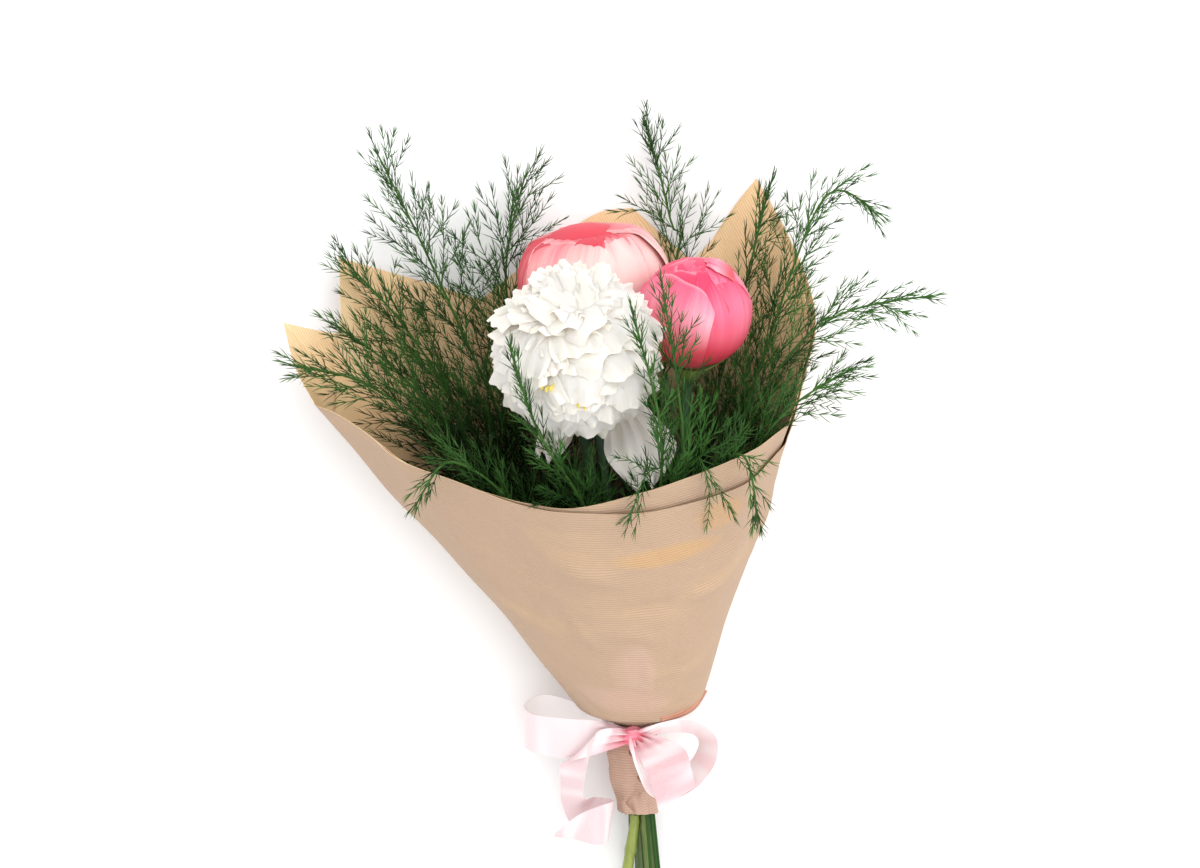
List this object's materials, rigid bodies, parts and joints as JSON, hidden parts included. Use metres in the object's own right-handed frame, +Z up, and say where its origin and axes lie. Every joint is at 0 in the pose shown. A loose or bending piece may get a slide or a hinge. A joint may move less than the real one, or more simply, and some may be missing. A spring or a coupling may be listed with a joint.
{
  "type": "bunch of peonies",
  "caption": "Bunch of cut peonies and asparagus fern in ribbed kraft paper, tied with a satin bow and lying on its back.",
  "frame": {"origin": "on the table under the middle of the bunch, on the flat back of the outer paper sheet", "axes": "+Y from the cut ends to the flower heads, +Z up from the table, +X to the right seen from above"},
  "size_m": [0.4219, 0.5195, 0.1904],
  "materials": {
    "kraft_paper": "matt ribbed kraft paper",
    "pink_satin": "pale pink satin ribbon",
    "white_petal": "matt creamy white petals",
    "coral_petal": "satiny coral petals",
    "pink_petal": "satiny deep pink petals",
    "peony_stem": "smooth green stem",
    "fern_green": "matt dark green needles"
  },
  "bodies": {
    "root": {"paper_outer_sheet": "kraft_paper", "paper_inner_sheet": "kraft_paper", "satin_ribbon": "pink_satin", "white_peony_petals": "white_petal", "coral_peony_petals": "coral_petal", "pink_peony_petals": "pink_petal", "white_peony_stem": "peony_stem", "coral_peony_stem": "peony_stem", "pink_peony_stem": "peony_stem", "fern_spray_01": "fern_green", "fern_spray_02": "fern_green", "fern_spray_03": "fern_green", "fern_spray_04": "fern_green", "fern_spray_05": "fern_green", "fern_spray_06": "fern_green", "fern_spray_07": "fern_green", "fern_spray_08": "fern_green", "fern_spray_09": "fern_green", "fern_spray_10": "fern_green", "fern_spray_11": "fern_green", "fern_spray_12": "fern_green", "fern_spray_13": "fern_green", "fern_spray_14": "fern_green", "fern_spray_15": "fern_green"}
  },
  "joints": []
}
